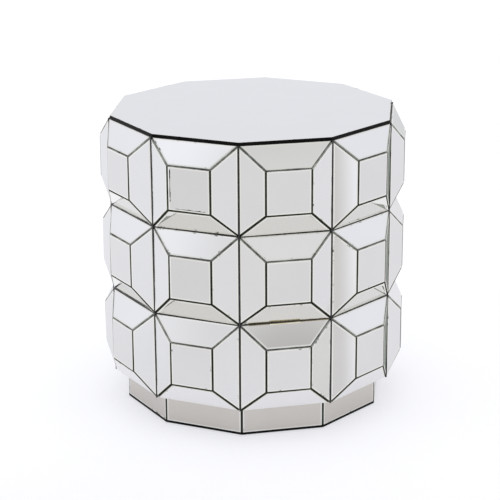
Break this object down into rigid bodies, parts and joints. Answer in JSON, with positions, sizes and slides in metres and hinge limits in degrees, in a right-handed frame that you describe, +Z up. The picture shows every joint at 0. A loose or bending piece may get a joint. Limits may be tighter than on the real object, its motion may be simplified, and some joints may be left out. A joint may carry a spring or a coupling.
{
  "type": "mirrored drum side table",
  "caption": "Drum side table clad in mirror: rows of square studs with bevelled facets on a many-sided body, a flat mirror top and a recessed mirrored plinth.",
  "frame": {"origin": "on the floor under the middle of the drum, at the bottom of the felt pads", "axes": "+Z up; a corner seam of the drum faces -Y and the middle of one side faces +X"},
  "size_m": [0.5724, 0.5694, 0.56],
  "materials": {
    "mirror_glass": "polished silvered glass with ground edges",
    "top_mirror_glass": "polished silvered glass with a dark edge",
    "black_painted_board": "black painted fibreboard",
    "fibreboard": "raw medium density fibreboard",
    "glue_block_wood": "sawn softwood",
    "steel_screw": "zinc plated",
    "felt": "black needle felt"
  },
  "bodies": {
    "root": {"base_strips": "black_painted_board", "bottom_board": "black_painted_board", "bottom_board_screws": "steel_screw", "felt_pads": "felt", "lower_bottom_mirrors": "mirror_glass", "lower_centre_mirrors": "mirror_glass", "lower_corner_blocks": "glue_block_wood", "lower_left_mirrors": "mirror_glass", "lower_right_mirrors": "mirror_glass", "lower_stud_blocks": "black_painted_board", "lower_top_mirrors": "mirror_glass", "middle_bottom_mirrors": "mirror_glass", "middle_centre_mirrors": "mirror_glass", "middle_left_mirrors": "mirror_glass", "middle_right_mirrors": "mirror_glass", "middle_stud_blocks": "black_painted_board", "middle_top_mirrors": "mirror_glass", "plinth_mirror_01": "mirror_glass", "plinth_mirror_02": "mirror_glass", "plinth_mirror_03": "mirror_glass", "plinth_mirror_04": "mirror_glass", "plinth_mirror_05": "mirror_glass", "plinth_mirror_06": "mirror_glass", "plinth_mirror_07": "mirror_glass", "plinth_mirror_08": "mirror_glass", "plinth_mirror_09": "mirror_glass", "plinth_mirror_10": "mirror_glass", "plinth_panels": "black_painted_board", "plinth_screws": "steel_screw", "side_panel_01": "fibreboard", "side_panel_02": "fibreboard", "side_panel_03": "fibreboard", "side_panel_04": "fibreboard", "side_panel_05": "fibreboard", "side_panel_06": "fibreboard", "side_panel_07": "fibreboard", "side_panel_08": "fibreboard", "side_panel_09": "fibreboard", "side_panel_10": "fibreboard", "stiffener_board": "fibreboard", "top_board": "fibreboard", "top_board_screws": "steel_screw", "top_mirror": "top_mirror_glass", "upper_bottom_mirrors": "mirror_glass", "upper_centre_mirrors": "mirror_glass", "upper_corner_blocks": "glue_block_wood", "upper_left_mirrors": "mirror_glass", "upper_right_mirrors": "mirror_glass", "upper_stud_blocks": "black_painted_board", "upper_top_mirrors": "mirror_glass"}
  },
  "joints": []
}
